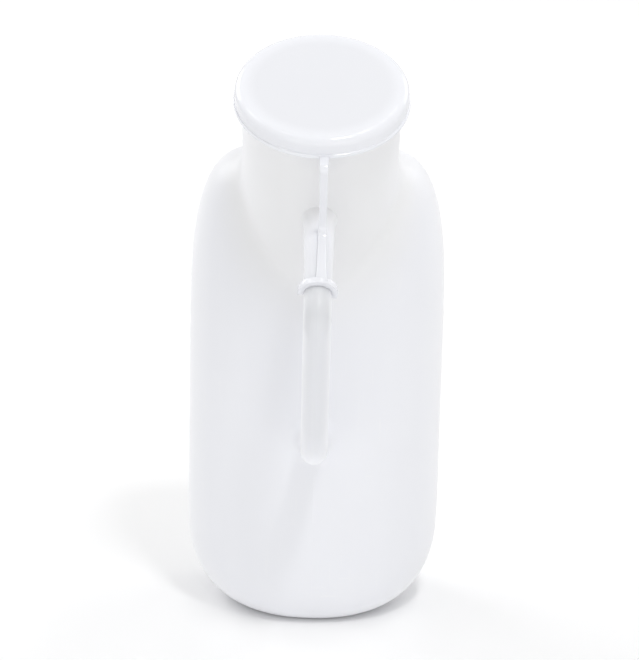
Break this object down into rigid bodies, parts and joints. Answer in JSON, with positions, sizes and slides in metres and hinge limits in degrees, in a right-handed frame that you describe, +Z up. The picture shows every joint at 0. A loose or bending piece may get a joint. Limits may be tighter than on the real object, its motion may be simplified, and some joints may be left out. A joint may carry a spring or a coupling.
{
  "type": "urine bottle",
  "caption": "Hand-held urine bottle that stands on its base: oval blown body with a flat back, wide leaning neck, bar handle and a snap lid tethered to it.",
  "frame": {"origin": "centre of the flat base that the bottle stands on", "axes": "+Z up; -Y forward, towards the handle and the way the neck leans; +Y towards the flat back; X = 0 is the plane of symmetry"},
  "size_m": [0.1124, 0.1334, 0.2642],
  "materials": {
    "bottle_plastic": "milky blown polyethylene, satin",
    "lid_plastic": "milky moulded polyethylene, satin"
  },
  "bodies": {
    "bottle": {"bottle_body": "bottle_plastic", "bottle_neck": "bottle_plastic", "handle": "bottle_plastic", "lid_strap": "lid_plastic", "strap_clip": "lid_plastic"},
    "lid": {"lid_cap": "lid_plastic"}
  },
  "joints": [
    {"name": "lid_flip", "type": "hinge", "parent": "bottle", "child": "lid", "pos_m": [0, -0.07897, 0.22652], "axis": [1, 0, 0], "range_deg": [0, 195]}
  ]
}
